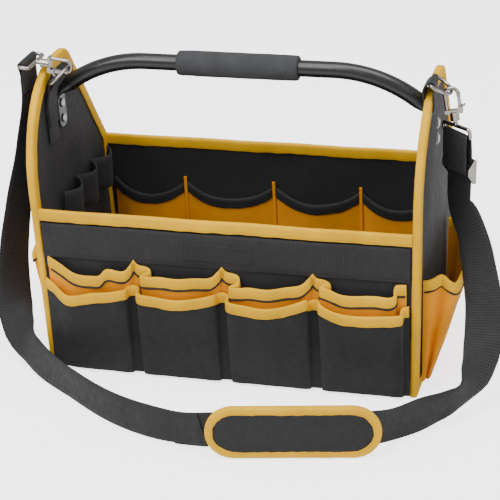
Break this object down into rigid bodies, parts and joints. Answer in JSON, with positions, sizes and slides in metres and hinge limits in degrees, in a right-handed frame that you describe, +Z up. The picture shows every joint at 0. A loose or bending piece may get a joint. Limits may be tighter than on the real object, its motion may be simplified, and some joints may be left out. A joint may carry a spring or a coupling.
{
  "type": "garden tool bag",
  "caption": "Open-top fabric tool tote with gabled ends, rows of pockets, a steel tube handle with a foam grip, and a clip-on padded shoulder strap.",
  "frame": {"origin": "centre of the base, on the floor", "axes": "+X to the right end along the handle, +Y to the back, +Z up"},
  "size_m": [0.5482, 0.3741, 0.328],
  "materials": {
    "black_fabric": "matte woven",
    "black_webbing": "ribbed webbing",
    "yellow_binding": "satin tape",
    "yellow_fabric": "matte woven",
    "label": "matte",
    "stiffener": "matte",
    "painted_tube": "gloss",
    "foam": "matte foam",
    "nickel": "polished",
    "spring_steel": "satin"
  },
  "bodies": {
    "bag": {"back_panel": "black_fabric", "back_rim_binding": "yellow_binding", "base_board": "stiffener", "blank_label": "label", "bottom_panel": "black_fabric", "foam_grip": "foam", "front_panel": "black_fabric", "front_pocket_front_binding": "yellow_binding", "front_pocket_front_layer": "black_fabric", "front_pocket_rear_binding": "yellow_binding", "front_pocket_rear_layer": "yellow_fabric", "front_rim_binding": "yellow_binding", "front_webbing_band": "black_webbing", "handle_rivets": "nickel", "handle_tube": "painted_tube", "inner_back_pocket_binding": "black_fabric", "inner_back_pockets": "yellow_fabric", "left_end_binding": "yellow_binding", "left_end_board": "stiffener", "left_end_panel": "black_fabric", "left_gate_pin": "nickel", "left_gate_spring": "spring_steel", "left_hook_body": "nickel", "left_ring_tab": "black_webbing", "left_side_pocket": "yellow_fabric", "left_side_pocket_binding": "yellow_binding", "left_tool_loops": "black_webbing", "right_end_binding": "yellow_binding", "right_end_board": "stiffener", "right_end_panel": "black_fabric", "right_gate_pin": "nickel", "right_gate_spring": "spring_steel", "right_hook_body": "nickel", "right_ring_tab": "black_webbing", "right_side_pocket": "yellow_fabric", "right_side_pocket_binding": "yellow_binding", "right_swivel_eye": "nickel", "rivet_washers": "nickel", "strap_right_turn": "black_webbing"},
    "left_d_ring": {"left_d_ring": "nickel"},
    "right_d_ring": {"right_d_ring": "nickel"},
    "left_gate": {"left_hook_gate": "nickel"},
    "right_gate": {"right_hook_gate": "nickel"},
    "strap": {"left_swivel_eye": "nickel", "strap_left_loop": "black_webbing", "strap_webbing": "black_webbing", "strap_end_strand": "black_webbing"},
    "slider": {"slider_frame": "nickel", "slider_turn": "black_webbing"},
    "pad": {"pad_body": "black_fabric", "pad_binding": "yellow_binding", "pad_keepers": "black_webbing"}
  },
  "joints": [
    {"name": "strap_swing", "type": "hinge", "parent": "bag", "child": "strap", "pos_m": [-0.198, -0.044, 0.3185], "axis": [-0.9921, 0, 0.1251], "range_deg": [0, 80]},
    {"name": "left_ring_hinge", "type": "hinge", "parent": "bag", "child": "left_d_ring", "pos_m": [-0.18856, -0.044, 0.3009], "axis": [0, -1, 0], "range_deg": [0, 8]},
    {"name": "right_ring_hinge", "type": "hinge", "parent": "bag", "child": "right_d_ring", "pos_m": [0.20524, -0.044, 0.31916], "axis": [0, 1, 0], "range_deg": [0, 5]},
    {"name": "left_gate_hinge", "type": "hinge", "parent": "bag", "child": "left_gate", "pos_m": [-0.19089, -0.044, 0.31095], "axis": [0, -1, 0], "range_deg": [0, 25], "stiffness_Nm_per_rad": 0.02},
    {"name": "right_gate_hinge", "type": "hinge", "parent": "bag", "child": "right_gate", "pos_m": [0.23187, -0.044, 0.29374], "axis": [0, -1, 0], "range_deg": [0, 25], "stiffness_Nm_per_rad": 0.02},
    {"name": "slider_slide", "type": "slide", "parent": "strap", "child": "slider", "axis": [-0.02, -0.06, -0.998], "range_m": [0, 0.018]},
    {"name": "pad_slide", "type": "slide", "parent": "strap", "child": "pad", "axis": [0.9806, 0.1959, 0], "range_m": [-0.008, 0.008]}
  ]
}
